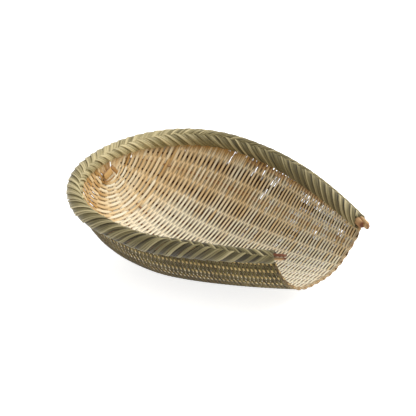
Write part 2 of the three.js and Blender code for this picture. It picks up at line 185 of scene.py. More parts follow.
def arm_lift(place, side):
    """How far the arms and the left side of the rim lie above an even rim. It fades across the bowl."""
    share = np.clip((place - LIFT_START) / (1 - LIFT_START), 0, 1)
    sag = LEFT_SAG * ease(place, *SAG_BEGINS) * (1 - ease(place, *SAG_ENDS))
    left = (LEFT_ARM_LIFT * share ** LIFT_CURVE - sag) * ((1 - side) / 2) ** LIFT_FADE
    return left - RIGHT_ARM_DROP * share ** DROP_CURVE * ((1 + side) / 2) ** LIFT_FADE


def bowl_point(place, side):
    """A point of the bowl. Place runs along the rim from the back, 0, to the lip, 1.
    Side runs round a weft from the left rim, -1, over the floor, 0, to the right rim, 1."""
    place, side = np.broadcast_arrays(np.asarray(place, float), np.asarray(side, float))
    rim = rim_at(place)
    floor = bowl_at(POLE_SHARE + (1 - POLE_SHARE) * np.clip(place, 0, 1) ** WEFT_CROWDING)
    reach = np.sin(STAKE_SPREAD * np.abs(side)) / math.sin(STAKE_SPREAD)
    rise = mix(floor[..., 2], rim[..., 2], reach ** np.interp(place, *SECTION_POWER))
    over_table = rise + arm_lift(place, side) - BELLY_HEIGHT
    bulge = LIP_BULGE * np.sin(np.pi * np.clip(side, 0, 1) ** LIP_BULGE_TO_ARM)
    bulge = bulge * np.clip((place - LIP_BULGE_START) / (1 - LIP_BULGE_START), 0, 1) ** LIP_BULGE_GROWTH
    bow = mix(floor[..., 1], rim[..., 1], reach ** np.interp(place, *BOW_POWER))
    return np.stack([
        np.sign(side) * rim[..., 0] * reach + bulge * LIP_BULGE_SIDEWAYS,
        bow - bulge * LIP_BULGE_FORWARD,
        BELLY_HEIGHT + (over_table + np.hypot(over_table, BELLY_EASE)) / 2,
    ], axis=-1)


# The lip's place along Y is read from the frame: it is where the middle stake ends
LIP_STAKE_END = 0.999
LIP_SHIFT = np.array([0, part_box("stake_centre")[0].y - bowl_point(LIP_STAKE_END, 0)[1], 0])


def bowl_frame(place, side):
    """A point of the bowl in the frame's place, the way along the wefts and the way into the bowl."""
    back, front = np.maximum(place - PROBE, 0), np.minimum(place + PROBE, 1)
    along = bowl_point(front, side) - bowl_point(back, side)
    across = (bowl_point(place, side + PROBE) - bowl_point(place, side - PROBE)) / (2 * PROBE)
    inward = unit(np.cross(along, across))
    return bowl_point(place, side) + LIP_SHIFT, across, inward


class SplintMesh:
    """A mesh of many splints, with what each point needs for its look: where it lies along and across its
    splint, how pale the splint is, how much of the bamboo's skin shows, how near it is to the splint's
    edge, where painted shade darkens it, and how much painted shade it takes where it lies under what
    crosses it."""

    def __init__(self):
        self.points, self.faces, self.fibre = [], [], []
        self.numbers = {"tone": [], "skin": [], "edge": [], "depth": []}
        self.count = 0

    def sweep(self, centres, across, up, width, thick, section, tone, grain_start, raised=0.0, edge_shading=1.0):
        """A closed splint along the centres. The section's points are shares of half its sizes, and its
        lower half shows the skin. Raised tells how far the splint lies on the upper side of the weave, 1,
        or on the lower side, -1, and its face turned into the weave takes that much painted shade. Edge
        shading scales the painted shade along its edges."""
        rings, size = len(centres), len(section)
        wide = np.broadcast_to(width, rings)[:, None, None] / 2
        high = np.broadcast_to(thick, rings)[:, None, None] / 2
        offsets = section[None, :, :1] * wide * across[:, None] + section[None, :, 1:] * high * up[:, None]
        self.points.append((centres[:, None] + offsets).reshape(-1, 3))
        grain = np.empty((rings, size, 3))
        steps = np.linalg.norm(np.diff(centres, axis=0), axis=1)
        grain[..., 0] = np.concatenate([[0], np.cumsum(steps)])[:, None]
        grain[..., 1] = section[None, :, 0] * wide[..., 0]
        grain[..., 2] = grain_start
        self.fibre.append(grain.reshape(-1, 3))
        # Painted shade comes from these: nearness to the edge, and the face turned into the weave where the
        # splint lies under another
        edge = np.abs(section[None, :, 0]) * np.broadcast_to(edge_shading, rings)[:, None]
        shade_in_dip = -np.broadcast_to(raised, rings)[:, None] * np.sign(section[None, :, 1])
        self.numbers["tone"].append(np.repeat(np.broadcast_to(tone, rings), size))
        self.numbers["skin"].append(np.tile(np.clip(0.5 - section[:, 1], 0, 1), rings))
        self.numbers["edge"].append(edge.ravel())
        self.numbers["depth"].append(np.clip(shade_in_dip, 0, 1).ravel())
        ring, step = np.meshgrid(np.arange(rings - 1), np.arange(size), indexing="ij")
        a = (self.count + ring * size + step).ravel()
        b = (self.count + ring * size + (step + 1) % size).ravel()
        self.faces.extend(np.stack([a, b, b + size, a + size], axis=-1).tolist())
        first, last = self.count, self.count + (rings - 1) * size
        self.faces.append([first + k for k in reversed(range(size))])
        self.faces.append([last + k for k in range(size)])
        self.count += rings * size

    def build(self, name, material, slot, node):
        """Makes the piece, which takes the place of one node of the frame."""
        mesh = bpy.data.meshes.new(name)
        mesh.from_pydata(np.concatenate(self.points).tolist(), [], self.faces)
        mesh.attributes.new("fibre", "FLOAT_VECTOR", "POINT")
        fibre = np.concatenate(self.fibre).ravel().astype(np.float32)
        mesh.attributes["fibre"].data.foreach_set("vector", fibre)
        for label, values in self.numbers.items():
            mesh.attributes.new(label, "FLOAT", "POINT")
            mesh.attributes[label].data.foreach_set("value", np.concatenate(values).astype(np.float32))
        mesh.shade_smooth()
        mesh.materials.append(material)
        piece = bpy.data.objects.new(name, mesh)
        bpy.context.scene.collection.objects.link(piece)
        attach(piece, "root")
        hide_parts(node)


class Value:
    """A number inside a material. An expression on it adds the Math nodes."""

    def __init__(self, nodes, socket):
        self.nodes, self.socket = nodes, socket

    def math(self, operation, first, second):
        return self.nodes.value("ShaderNodeMath", {"operation": operation}, [first, second])

    def __add__(self, other):
        return self.math("ADD", self, other)

    def __mul__(self, other):
        return self.math("MULTIPLY", self, other)

    def __sub__(self, other):
        return self.math("SUBTRACT", self, other)

    def __rsub__(self, other):
        return self.math("SUBTRACT", other, self)

    __radd__ = __add__
    __rmul__ = __mul__

    def clamped(self):
        return self.nodes.value("ShaderNodeClamp", {}, [self])


class Nodes:
    """The nodes of a material or of the room."""

    def __init__(self, tree):
        self.tree = tree

    def node(self, kind, settings, inputs):
        """Adds a node: its settings first, then the values or links of its sockets."""
        made = self.tree.nodes.new(kind)
        for key, setting in settings.items():
            setattr(made, key, setting)
        named = inputs.items() if isinstance(inputs, dict) else enumerate(inputs)
        for key, given in named:
            self.set(made.inputs[key], given)
        return made

    def set(self, socket, given):
        if isinstance(given, Value):
            given = given.socket
        if isinstance(given, bpy.types.NodeSocket):
            self.tree.links.new(given, socket)
        elif isinstance(given, tuple) and len(given) == 3 and socket.type == "RGBA":
            socket.default_value = (*given, 1)
        else:
            socket.default_value = given

    def value(self, kind, settings, inputs):
        return Value(self, self.node(kind, settings, inputs).outputs[0])


class Finish(Nodes):
    """A material in the making."""

    def __init__(self, name):
        self.material = bpy.data.materials.new(name)
        self.material.use_nodes = True
        super().__init__(self.material.node_tree)
        self.surface = self.tree.nodes["Principled BSDF"]

    def surface_set(self, name, given):
        self.set(self.surface.inputs[name], given)

    def attribute(self, name, output="Fac"):
        made = self.node("ShaderNodeAttribute", {"attribute_name": name}, {})
        return Value(self, made.outputs[output])

    def stretched(self, vector, scale):
        made = self.node("ShaderNodeVectorMath", {"operation": "MULTIPLY"}, [vector, scale])
        return made.outputs["Vector"]

    def noise(self, vector, detail, roughness):
        sockets = {"Vector": vector, "Scale": 1, "Detail": detail, "Roughness": roughness}
        return self.value("ShaderNodeTexNoise", {}, sockets)

    def blend(self, factor, first, second):
        """A mix of two colours, which a Mix node takes at its inputs 6 and 7 and gives at its output 2."""
        made = self.node("ShaderNodeMix", {"data_type": "RGBA"}, {0: factor, 6: first, 7: second})
        return made.outputs[2]

    def ramp(self, factor, colours):
        made = self.node("ShaderNodeValToRGB", {}, {})
        stops = made.color_ramp.elements
        for number, colour in enumerate(colours):
            place = number / (len(colours) - 1)
            stop = stops[number] if number < 2 else stops.new(place)
            stop.position = place
            stop.color = (*colour, 1)
        self.set(made.inputs["Fac"], factor)
        return made.outputs["Color"]

    def bump(self, height, distance):
        made = self.node("ShaderNodeBump", {}, {"Height": height, "Distance": distance, "Strength": 1})
        self.surface_set("Normal", made.outputs["Normal"])


def srgb(*eight_bit):
    """A colour as a picture shows it, turned by the sRGB curve into the linear values of a shader."""
    return tuple(mix(c / 255 / 12.92, ((c / 255 + 0.055) / 1.055) ** 2.4, c > 10) for c in eight_bit)


# How often the grain changes in a metre along and across a splint. The third number tells splints apart
STREAKS_PER_METRE = (55, 2600, 1)
CLOUDS_PER_METRE = (26, 120, 1)
STREAK_DETAIL = 3
STREAK_ROUGHNESS = 0.6
STREAK_STRENGTH = 0.45
CLOUD_DETAIL = 2
CLOUD_ROUGHNESS = 0.5
CLOUD_STRENGTH = 0.7
NOISE_MIDDLE = 0.5
DARK_FIBRE_ABOVE = 0.56
DARK_FIBRE_SHARPNESS = 5
DARK_FIBRE_SHADE = 0.4
# Painted shade along each splint's edges, where it meets its neighbours
EDGE_SHADE_ABOVE = 0.62
EDGE_SHADE_SHARPNESS = 3
FIBRE_ROUGHNESS = 0.2
FIBRE_RELIEF = 0.00012
# Painted shade where a splint lies under what crosses it: how strong it is, and its colour
DIP_SHADE_STRENGTH = 0.95
DIP_SHADE_COLOUR = srgb(50, 29, 16)


def split_bamboo(name, insides, skins, edge, edge_shade, roughness, gloss):
    """Split bamboo: straight fibres in fine streaks, a pale inner side and a darker skin, with painted
    shade along the edges and where a splint lies under another.
    """
    finish = Finish(name)
    fibre = finish.attribute("fibre", "Vector")
    streak = finish.noise(finish.stretched(fibre, STREAKS_PER_METRE), STREAK_DETAIL, STREAK_ROUGHNESS)
    cloud = finish.noise(finish.stretched(fibre, CLOUDS_PER_METRE), CLOUD_DETAIL, CLOUD_ROUGHNESS)
    streak_swing = streak - NOISE_MIDDLE
    cloud_swing = cloud - NOISE_MIDDLE
    shade = finish.attribute("tone") + cloud_swing * CLOUD_STRENGTH + streak_swing * STREAK_STRENGTH
    shade = shade.clamped()
    colour = finish.blend(finish.attribute("skin"), finish.ramp(shade, insides), finish.ramp(shade, skins))
    dark_fibre = ((streak - DARK_FIBRE_ABOVE) * DARK_FIBRE_SHARPNESS).clamped() * DARK_FIBRE_SHADE
    # Painted shade along the splint's edges
    painted_edge_shade = ((finish.attribute("edge") - EDGE_SHADE_ABOVE) * EDGE_SHADE_SHARPNESS).clamped() * edge_shade
    colour = finish.blend((dark_fibre + painted_edge_shade).clamped(), colour, edge)
    # Painted shade where the splint lies under what crosses it
    colour = finish.blend(finish.attribute("depth") * DIP_SHADE_STRENGTH, colour, DIP_SHADE_COLOUR)
    finish.surface_set("Base Color", colour)
    finish.surface_set("Specular IOR Level", gloss)
    finish.surface_set("Roughness", roughness + streak_swing * FIBRE_ROUGHNESS)
    finish.bump(streak, FIBRE_RELIEF)
    return finish.material


STAKES_EACH_SIDE = 8
GAPS_EACH_SIDE = STAKES_EACH_SIDE + 1
STAKE_THICKNESS = 0.0007
STAKE_WIDTH = 0.0055
STAKE_SHARE = ((0.2, 0.8), (0.2, 0.17))
# Stakes are counted from the middle one, 0, to the left below it and to the right above it
STAKE_WIDER = {-8: 2.4, -7: 2.4, -6: 2, -5: 1.6, 3: 1.3, 4: 1.3, 5: 2.5, 6: 2.2, 7: 3.0, 8: 2.2}
STAKE_WIDER_FROM = (0.4, 0.7)
# The middle and right stakes listed here are painted dark, painted shade in the recessed slots where they
# show between the wefts; the others take a random pale tone
STAKE_SHADE_TONES = {0: 0.3, 1: 0.2, 2: 0.1, 3: 0.1, 4: 0.15, 5: 0.0, 7: 0.0}
OTHER_STAKE_TONES = (0.6, 0.9)
# Over the floor the stakes' painted shade is lifted near the back and at the lip
STAKE_PALER = ((0.25, 0.45, 0.75, 0.92), (0.5, 0, 0, 0.65))
FLOOR_STAKES = range(-5, 3)
STAKE_STATIONS = 72
STAKE_END = 0.9955
STAKE_LEAST_PITCH = 0.0044
STAKE_RIM_CLEARANCE = 0.0045
FIRST_WEFT = 0.034
LAST_WEFT = 0.981
CAD_PASSES = 44
STAKE_INSIDES = (srgb(54, 34, 18), srgb(134, 92, 56), srgb(234, 194, 148))
STAKE_SKINS = (srgb(178, 142, 80), srgb(222, 188, 118), srgb(254, 228, 162))
SHADED_EDGE = srgb(98, 61, 34)
FLAT_SECTION = np.array([
    (-1, -0.35), (-0.8, -1), (0, -1.1), (0.8, -1), (1, -0.35),
    (1, 0.35), (0.8, 1), (0, 1.1), (-0.8, 1), (-1, 0.35),
])
CHANCE_SEED = 11

chance = np.random.default_rng(CHANCE_SEED)
stake_sides = np.arange(-STAKES_EACH_SIDE, STAKES_EACH_SIDE + 1) / GAPS_EACH_SIDE


def stake_start(side):
    """A stake starts before the first weft that leaves it room between its neighbours and the rim."""
    for weft in range(CAD_PASSES // 2):
        place = FIRST_WEFT + weft * (LAST_WEFT - FIRST_WEFT) / CAD_PASSES
        point, across, _ = bowl_frame(place, side)
        pitch = np.linalg.norm(across) / GAPS_EACH_SIDE
        ends = [np.linalg.norm(bowl_point(place, end) + LIP_SHIFT - point) for end in (-1, 1)]
        if pitch >= STAKE_LEAST_PITCH and min(ends) >= RIM_RADIUS + STAKE_RIM_CLEARANCE:
            break
    return place


stake_material = split_bamboo("stake bamboo", STAKE_INSIDES, STAKE_SKINS, SHADED_EDGE,
                              edge_shade=0.6, roughness=0.6, gloss=0.1)
stake_starts = np.array([stake_start(side) for side in stake_sides])

for number, side in enumerate(stake_sides):
    places = np.linspace(stake_starts[number], STAKE_END, STAKE_STATIONS)
    points, across, inward = bowl_frame(places, side)
    pitch = np.linalg.norm(across, axis=1) / GAPS_EACH_SIDE
    count = number - STAKES_EACH_SIDE
    widening = np.interp(places, STAKE_WIDER_FROM, (1, STAKE_WIDER.get(count, 1)))
    width = np.minimum(STAKE_WIDTH, np.interp(places, *STAKE_SHARE) * pitch * widening)
    tone = STAKE_SHADE_TONES.get(count, chance.uniform(*OTHER_STAKE_TONES))
    if count in FLOOR_STAKES:
        tone = np.clip(tone + np.interp(places, *STAKE_PALER), 0, 1)
    stake = SplintMesh()
    stake.sweep(points, unit(across), inward, width, STAKE_THICKNESS, FLAT_SECTION, tone, number)
    label = "centre" if count == 0 else f"{'left' if count < 0 else 'right'}_{abs(count)}"
    stake.build(f"split_stake_{label}", stake_material, "stake_splint", f"stake_{label}")

# Wefts
# Long narrow splints, shaved thin and pale inside, that go over one stake and under the next from the left
# side of the rim down over the floor and up to the right side. The maker beats each one close to the last.
FIRST_PASS = 0.006
LAST_PASS = 0.987
WEFT_STRANDS = 11
WEFT_DENSITY = ((0, 0.1, 0.2, 0.3, 0.5, 0.75, 1), (104, 104, 110, 138, 150, 170, 182))
WEFT_DRIFT = 0.09
WEFT_DRIFT_POINTS = 12
WEFT_THICKNESS = 0.0009
WEFT_WIDTHS = ((0, 0.15, 0.3, 0.4, 1), (0.0044, 0.0045, 0.0036, 0.0027, 0.0026))
WEFT_WIDTH_CHANCE = (0.88, 1.06)
WEFT_SHARE = ((-1, -0.8, -0.6, 1), (1.6, 1.5, 1.28, 1.28))
WIDER_BY_SIDE = ((-1, -0.5, 0, 0.4, 0.8), (1.35, 1.25, 1.25, 1.25, 1.12))
WEFT_SPREAD_INSIDE = 0.12
WEFT_SPREAD_OUTSIDE = ((-1, -0.5, -0.35, 0.45, 0.75), (-0.16, -0.16, 0.6, 0.6, 0.4))
SPREAD_FROM = 0.35
SPREAD_FLATNESS = 0.6
SLOT_BY_SIDE = ((0.5, 0.7, 0.86, 0.95), (0, 0.03, 0.18, 0.42))
SLOT_BY_PLACE = ((0.05, 0.1, 0.25, 0.35, 0.5, 0.75, 1), (0, 0.5, 0.4, 0.2, 1, 1, 0.4))
SLOT_NARROWING = 0.62
SLOT_SHARPNESS = 20
SLOT_SQUARENESS = 4
WEFT_SWING = 0.0008
SWING_FLATNESS = 0.45
SWING_OFF_STAKES = 0.15
PAIRED_STAKES = 0.27
WEFT_TONE = 0.55
WEFT_TONE_CHANCE = 0.17
# Across the bowl the wefts are paler over the floor, and a painted shadow darkens them just under the right
# rim
TONE_AND_SHADE_BY_SIDE = ((-0.5, -0.3, 0, 0.3, 0.6, 0.85, 0.93), (0.0, 0.22, 0.6, 0.4, 0.24, 0.3, -0.5))
TONE_BY_PLACE = ((0.28, 0.4, 0.75, 0.9), (-0.24, 0.3, 0.1, 0.1))
# Painted shade darkens the far wall, on the right side of the bowl
FAR_WALL = ((0.3, 0.6), (0, 1))
FAR_WALL_SHADE = ((0, 0.25, 0.4, 0.6, 0.85, 1), (-0.05, -0.05, -0.6, -0.35, -0.2, -0.35))
# How much painted shade the wefts get where they dip under each stake, from the leftmost stake to the
# rightmost
DIP_SHADE_BY_STAKE = (
    1, 1, 1, 0.9, 0.5, 0.15, 0.2, 0.15, 0.25, 0.5, 0.95, 0.9, 1.2, 1.5, 0.35, 1.8, 0.5,
)
# Painted shade in the dips grows away from the back and fades over the floor at the lip
DIP_SHADE_BY_PLACE = ((0, 0.2, 0.35, 0.5), (0.1, 0.25, 0.6, 0.9))
DIP_SHADE_AT_LIP = ((0.8, 0.93), (1, 0.05))
OFF_LIP_FLOOR = ((-0.5, -0.3, 0.1, 0.3), (1, 0, 0, 1))
# Strength of the painted shade along the wefts' edges, by side and by place
EDGE_SHADE_BY_SIDE = ((-0.5, 0, 0.5), (0.85, 1, 1.15))
EDGE_SHADE_BY_PLACE = ((0.15, 0.45, 0.8, 0.95), (0.74, 1, 1, 0.9))
WEFT_GRAIN_STEP = 7.3
WEFT_STEPS_PER_STAKE = 6
WEFT_INSIDES = (srgb(198, 155, 94), srgb(243, 214, 165), srgb(255, 245, 217))
WEFT_SKINS = (srgb(44, 38, 19), srgb(83, 74, 41), srgb(126, 112, 66))
ROUND_SECTION = np.array([
    (-1, 0), (-0.78, -0.75), (0, -1.1), (0.78, -0.75), (1, 0), (0.78, 0.75), (0, 1.1), (-0.78, 0.75),
])

weft_material = split_bamboo("weft bamboo", WEFT_INSIDES, WEFT_SKINS, SHADED_EDGE,
                             edge_shade=0.8, roughness=0.55, gloss=0.15)
sides = np.linspace(-1, 1, 2 * GAPS_EACH_SIDE * WEFT_STEPS_PER_STAKE + 1)
slot_middles = (np.arange(-GAPS_EACH_SIDE, GAPS_EACH_SIDE) + 0.5) / GAPS_EACH_SIDE


def weft_places():
    """Where each pass of the wefts meets the rim. They lie closer together towards the lip."""
    grid = np.linspace(FIRST_PASS, LAST_PASS, CURVE_STEPS)
    passes = np.cumsum(np.interp(grid, *WEFT_DENSITY)) * (grid[1] - grid[0])
    return np.interp(np.arange(0.5, passes[-1]), passes, grid)


def weave_swing(place, step, weft):
    """How far a weft lies inside or outside the bowl. Near the back it crosses the stakes in pairs."""
    turns = sides * GAPS_EACH_SIDE
    if place < PAIRED_STAKES:
        turns = (turns + 0.5) / 2
    swing = np.cos(np.pi * (turns + weft))
    started = np.interp(sides, stake_sides, np.clip((place - stake_starts) / step, SWING_OFF_STAKES, 1))
    near_rim = np.clip((1 - np.abs(sides)) * GAPS_EACH_SIDE, 0, 1)
    return np.sign(swing) * np.abs(swing) ** SWING_FLATNESS * started * near_rim


def weft_width(place, pitch, swing):
    """A weft spreads where it floats over a stake, and by chance it is nipped between two stakes, which
    leaves a dark slot beside it."""
    widest = np.interp(place, *WEFT_WIDTHS) * np.interp(sides, *WIDER_BY_SIDE)
    width = np.minimum(widest, np.interp(sides, *WEFT_SHARE) * pitch) * chance.uniform(*WEFT_WIDTH_CHANCE)
    outside = np.interp(sides, *WEFT_SPREAD_OUTSIDE)
    if place < SPREAD_FROM:
        outside = np.maximum(outside, WEFT_SPREAD_INSIDE)
    spread = np.where(swing > 0, WEFT_SPREAD_INSIDE, outside)
    width = width * (1 + spread * np.abs(swing) ** SPREAD_FLATNESS)
    likely = np.interp(slot_middles, *SLOT_BY_SIDE) * np.interp(place, *SLOT_BY_PLACE)
    for middle in slot_middles[chance.random(len(slot_middles)) < likely]:
        nip = np.exp(-((sides - middle) * SLOT_SHARPNESS) ** SLOT_SQUARENESS)
        width = width * (1 - SLOT_NARROWING * nip)
    return width


def weft_tone(place):
    """How pale a weft is: paler over the floor than up the walls, darkened with painted shade on the far
    wall and with a painted shadow just under the right rim, and each a little its own.
    """
    far_wall_shade = np.interp(sides, *FAR_WALL) * np.interp(place, *FAR_WALL_SHADE)
    tone = chance.normal(WEFT_TONE, WEFT_TONE_CHANCE) + np.interp(sides, *TONE_AND_SHADE_BY_SIDE) + far_wall_shade
    return np.clip(tone + np.interp(place, *TONE_BY_PLACE), 0, 1)


def weft_dip_shade(place):
    """How much painted shade a weft gets where it dips under each stake. Over the floor at the lip it gets
    hardly any.
    """
    shade_in_dip = np.interp(sides, stake_sides, DIP_SHADE_BY_STAKE) * np.interp(place, *DIP_SHADE_BY_PLACE)
    return shade_in_dip * mix(np.interp(place, *DIP_SHADE_AT_LIP), 1, np.interp(sides, *OFF_LIP_FLOOR))


bands = [SplintMesh() for _ in range(WEFT_STRANDS)]
for weft, middle_place in enumerate(weft_places()):
    step = 1 / np.interp(middle_place, *WEFT_DENSITY)
    drift = chance.uniform(-WEFT_DRIFT, WEFT_DRIFT, WEFT_DRIFT_POINTS)
    place = middle_place + np.interp(sides, np.linspace(-1, 1, WEFT_DRIFT_POINTS), drift) * step
    points, _, inward = bowl_frame(place, sides)
    pitch = np.linalg.norm(bowl_point(np.minimum(place + step, 1), sides) + LIP_SHIFT - points, axis=1)
    swing = weave_swing(middle_place, step, weft)
    width = weft_width(middle_place, pitch, swing)
    tone = weft_tone(middle_place)
    centres = points + inward * (WEFT_SWING * swing)[:, None]
    along = unit(np.gradient(centres, axis=0))
    flat = unit(np.cross(along, inward))
    edge_shading = np.interp(sides, *EDGE_SHADE_BY_SIDE) * np.interp(middle_place, *EDGE_SHADE_BY_PLACE)
    strand = int((middle_place - FIRST_PASS) / (LAST_PASS - FIRST_PASS) * WEFT_STRANDS)
    bands[strand].sweep(centres, flat, inward, width, WEFT_THICKNESS, ROUND_SECTION, tone,
                        weft * WEFT_GRAIN_STEP, swing * weft_dip_shade(middle_place), edge_shading)
for strand, band in enumerate(bands):
    label = f"{strand + 1:02d}"
    band.build(f"woven_wefts_{label}", weft_material, "weft_splint", f"weft_strand_{label}")

# Rim core
# Two half-round canes lie flat side to flat side, with the edge of the weave between them. Their sawn
# ends stick out of the binding at both arm ends, where the cane shows its pink-brown pith.
RIM_END_RADIUS = 0.0072
RIM_TAPER_START = 0.7
RIM_PROBE = 0.003
CORE_RADIUS = 0.0049
CORE_GAP = 0.0005
CORE_GAP_THINNED = 0.0007
CORE_END = {"outer": (0.0105, 0.0175), "inner": (0.0115, 0.012)}
CORE_THINNED = 0.55
CORE_THINNED_FROM = 0.02
CORE_TWIST = math.radians(-65)
CORE_TIP_LENGTH = 0.0015
CORE_TIP_ROUNDING = 0.35
CORE_TIP_DARKER = 0.6
CORE_STATIONS = 180
CORE_GRAIN_STEP = 3.1
CORE_COLOURS = (srgb(110, 62, 32), srgb(204, 161, 111), srgb(228, 195, 146))
CORE_TONES = {"outer": (0.5, 0.8), "inner": (0.0, 0.7)}
# Painted shade darkens the round back of each cane towards this colour, as it darkens the edges of other
# splints
CORE_EDGE_SHADE = srgb(120, 62, 40)
HALF_ROUND_POINTS = 9
HALF_ROUND_CORNER = 0.12

half_turn = np.linspace(HALF_ROUND_CORNER, math.pi - HALF_ROUND_CORNER, HALF_ROUND_POINTS)
half_round = np.array([(math.sin(turn), 2 * math.cos(turn)) for turn in half_turn])


def rim_frame(travel):
    """The rim's centre line, with the ways up out of the weave and outward. Travel is the distance from
    the middle of the back, positive towards the right arm's end, and it may run past the ends."""
    travel = np.asarray(travel, float)
    hand = np.where(travel < 0, -1.0, 1.0)

    def centre_at(distance):
        share = np.abs(distance) / RIM_LENGTH
        x, y, z = np.moveaxis(rim_at(share), -1, 0)
        return np.stack([np.sign(distance) * x, y, z + arm_lift(share, np.sign(distance))], axis=-1)

    inside = np.clip(travel, -RIM_LENGTH, RIM_LENGTH)
    low = np.maximum(inside - RIM_PROBE, -RIM_LENGTH)
    high = np.minimum(inside + RIM_PROBE, RIM_LENGTH)
    tangent = unit(centre_at(high) - centre_at(low))
    centre = centre_at(inside) + tangent * (travel - inside)[..., None] + LIP_SHIFT
    _, across, _ = bowl_frame(np.abs(inside) / RIM_LENGTH, hand)
    across = across * hand[..., None]
    up = unit(across - tangent * np.sum(across * tangent, axis=-1, keepdims=True))
    return centre, up, np.cross(up, tangent)


def rim_radius(travel):
    share = (np.abs(travel) / RIM_LENGTH - RIM_TAPER_START) / (1 - RIM_TAPER_START)
    return mix(RIM_RADIUS, RIM_END_RADIUS, np.clip(share, 0, 1))


core_material = split_bamboo("sawn cane", CORE_COLOURS, CORE_COLOURS, CORE_EDGE_SHADE,
                             edge_shade=0.3, roughness=0.7, gloss=0.5)

for hand, label in ((1, "outer"), (-1, "inner")):
    left_end, right_end = CORE_END[label]
    travel = np.linspace(-RIM_LENGTH - left_end, RIM_LENGTH + right_end, CORE_STATIONS)
    centre, up, out = rim_frame(travel)
    thinned = np.clip((-travel - RIM_LENGTH + CORE_THINNED_FROM) / CORE_THINNED_FROM, 0, 1)
    nearer_end = np.where(travel > 0, travel[-1], -travel[0])
    tip = np.clip((np.abs(travel) - nearer_end) / CORE_TIP_LENGTH + 1, 0, 1)
    half = CORE_RADIUS * rim_radius(travel) / RIM_END_RADIUS
    half = half * mix(1, CORE_THINNED, thinned) * (1 - CORE_TIP_ROUNDING * tip ** 2)
    twist = (CORE_TWIST * thinned)[:, None]
    out, up = out * np.cos(twist) + up * np.sin(twist), up * np.cos(twist) - out * np.sin(twist)
    middle = centre + out * (hand * mix(CORE_GAP, CORE_GAP_THINNED, thinned))[:, None]
    tone = np.interp(travel, (-RIM_LENGTH, RIM_LENGTH), CORE_TONES[label]) - tip * CORE_TIP_DARKER
    cane = SplintMesh()
    cane.sweep(middle, out * hand, up, 2 * half, half, half_round, tone, hand * CORE_GRAIN_STEP)
    cane.build(f"{label}_core_cane", core_material, "core_cane", f"rim_{label}_cane")

# Rim binding
# Bundles of five narrow green-skinned splints are wrapped round the canes, outside and inside in turn, from
# a spine on top of the rim down to the weave. They meet at the spine in a herringbone, which runs one way
# round the whole rim.
STRIP_BUNDLES = 60
BUNDLES_BEFORE_END = 4
SPLINTS_IN_BUNDLE = 5
SPLINT_THICKNESS = 0.0011
STRIP_OVERLAP = 1.18
STRIP_STATIONS = 16
STRIP_LEAST_STATIONS = 3
STRIP_PLACE_CHANCE = 0.0004
BINDING_PAST_END = 0.003
SPINE_TURN_BACK = math.radians(-42)
SPINE_TURN_ARM = math.radians(38)
SPINE_TURN_START = 0.35
SPINE_TURN_LEFT_END = math.radians(26)
SPINE_LEFT_END_START = 0.4
SLANT_LEFT = 0.95
SLANT_RIGHT = 1.5
OVER_SPINE = 0.3
BOTTOM_OPENING = 0.28
# In a bundle each splint lies a little lower than the last. It dips at the spine, and its end is tucked in
STRIP_TUCK = 0.0013
STRIP_DIP = {1: 0.8, -1: 1.0}
STRIP_DIP_START = 0.35
STRIP_DIP_TURN = 0.5
STRIP_END_TUCK = 0.0014
STRIP_END_START = 0.85
STRIP_END_WIDTH = 0.75
STRIP_SWELL = 0.5
STRIP_LEAN = 0.0006
DROOP = {
    1: ((-1, -0.9, -0.8, -0.65, -0.5, -0.3), (0.0005, 0.0005, 0.003, 0.003, 0.0008, 0)),
    -1: ((0, 0.12, 0.2, 0.45, 1), (0, 0.001, 0.004, 0.0035, 0.003)),
}
DROOP_TURNS = (1.2, 2.4)
STRIP_SKINS = (srgb(66, 58, 36), srgb(139, 127, 85), srgb(219, 203, 155))
# Painted shade along the edges of the binding's splints, between splints and bundles, and its strength
# round the rim
STRIP_EDGE_SHADE = srgb(44, 38, 22)
STRIP_EDGE_SHADING = ((-0.5, -0.3, 0.15, 0.35), (1, 0.5, 0.5, 1))
# Across each bundle the first splint is painted palest and the last darkest, a painted highlight on one
# side and painted shade where it tucks under the next; the contrast changes round the rim
STRIP_SHADING_IN_BUNDLE = (0.42, 0.28, 0.02, -0.16, -0.3)
STRIP_TONE_CHANCE = 0.12
STRIP_SHADING_CONTRAST = ((-1, -0.5, -0.3, -0.15, 0.5, 0.8, 1), (0.85, 0.85, 0.35, 0.25, 0.5, 0.9, 0.9))
# Round the rim the strips take painted light and shade: darker on the left arm and along the far right
# side, palest at the back
STRIP_TONE_AND_PAINTED_LIGHT = (
    (-1, -0.75, -0.5, -0.3, 0, 0.2, 0.45, 0.8, 1),
    (0.23, 0.22, 0.43, 0.7, 0.78, 0.64, 0.34, 0.4, 0.54),
)
BUNDLE_GRAIN_STEP = 1.7
SPLINT_GRAIN_STEP = 0.31
LAYER_GRAIN_STEP = 5

strip_material = split_bamboo("green bamboo strip", STRIP_SKINS, STRIP_SKINS, STRIP_EDGE_SHADE,
                              edge_shade=0.5, roughness=0.42, gloss=0.32)
bundle_pitch = 2 * RIM_LENGTH / STRIP_BUNDLES


